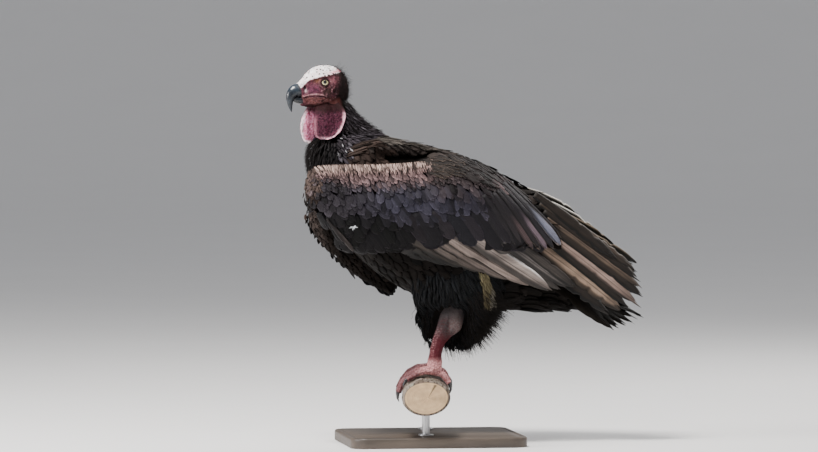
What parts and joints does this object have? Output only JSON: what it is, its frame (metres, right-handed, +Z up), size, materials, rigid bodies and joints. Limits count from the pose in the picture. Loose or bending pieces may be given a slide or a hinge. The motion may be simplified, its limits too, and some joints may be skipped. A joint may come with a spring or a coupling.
{
  "type": "red-headed vulture model",
  "caption": "Life-size still model of an adult male red-headed vulture, wings folded, standing on a short cut branch that short rods hold above a flat stand.",
  "frame": {"origin": "middle of the underside of the stand", "axes": "+Z up; the bird faces -X; its left side is -Y"},
  "size_m": [0.6092, 0.3084, 0.6426],
  "materials": {
    "head_skin": "bare, wrinkled skin, pinkish white on the crown and dusky rose on the face",
    "lappet_skin": "bare granular skin, crimson pink with a paler rim",
    "bill_horn": "smooth slate black horn",
    "claw_horn": "black horn",
    "eye": "clear cornea over a pale yellow iris",
    "plumage_black": "soft brownish black feathers",
    "plumage_slate": "slate black feathers with a faint gloss",
    "plumage_brown": "worn brown flight feathers with darker inner vanes",
    "leg_skin": "scaled pinkish red skin",
    "bark": "rough brown conifer bark with sawn ends",
    "stand_board": "dark satin board",
    "stand_steel": "brushed steel"
  },
  "bodies": {
    "root": {"head": "head_skin", "bill_upper": "bill_horn", "bill_lower": "bill_horn", "eye_left": "eye", "eye_right": "eye", "lappet_left": "lappet_skin", "lappet_right": "lappet_skin", "neck": "plumage_black", "trunk": "plumage_slate", "tail": "plumage_black", "wing_left_arm": "plumage_slate", "wing_left_secondaries": "plumage_brown", "wing_left_primaries": "plumage_brown", "wing_right_arm": "plumage_slate", "wing_right_secondaries": "plumage_brown", "wing_right_primaries": "plumage_brown", "thigh_left": "plumage_black", "thigh_right": "plumage_black", "tarsus_left": "leg_skin", "tarsus_right": "leg_skin", "foot_left": "leg_skin", "foot_right": "leg_skin", "perch_branch": "bark", "stand_base": "stand_board", "stand_rod_left": "stand_steel", "stand_rod_right": "stand_steel", "claw_left_inner": "claw_horn", "claw_left_middle": "claw_horn", "claw_left_outer": "claw_horn", "claw_left_hind": "claw_horn", "claw_right_inner": "claw_horn", "claw_right_middle": "claw_horn", "claw_right_outer": "claw_horn", "claw_right_hind": "claw_horn"}
  },
  "joints": []
}
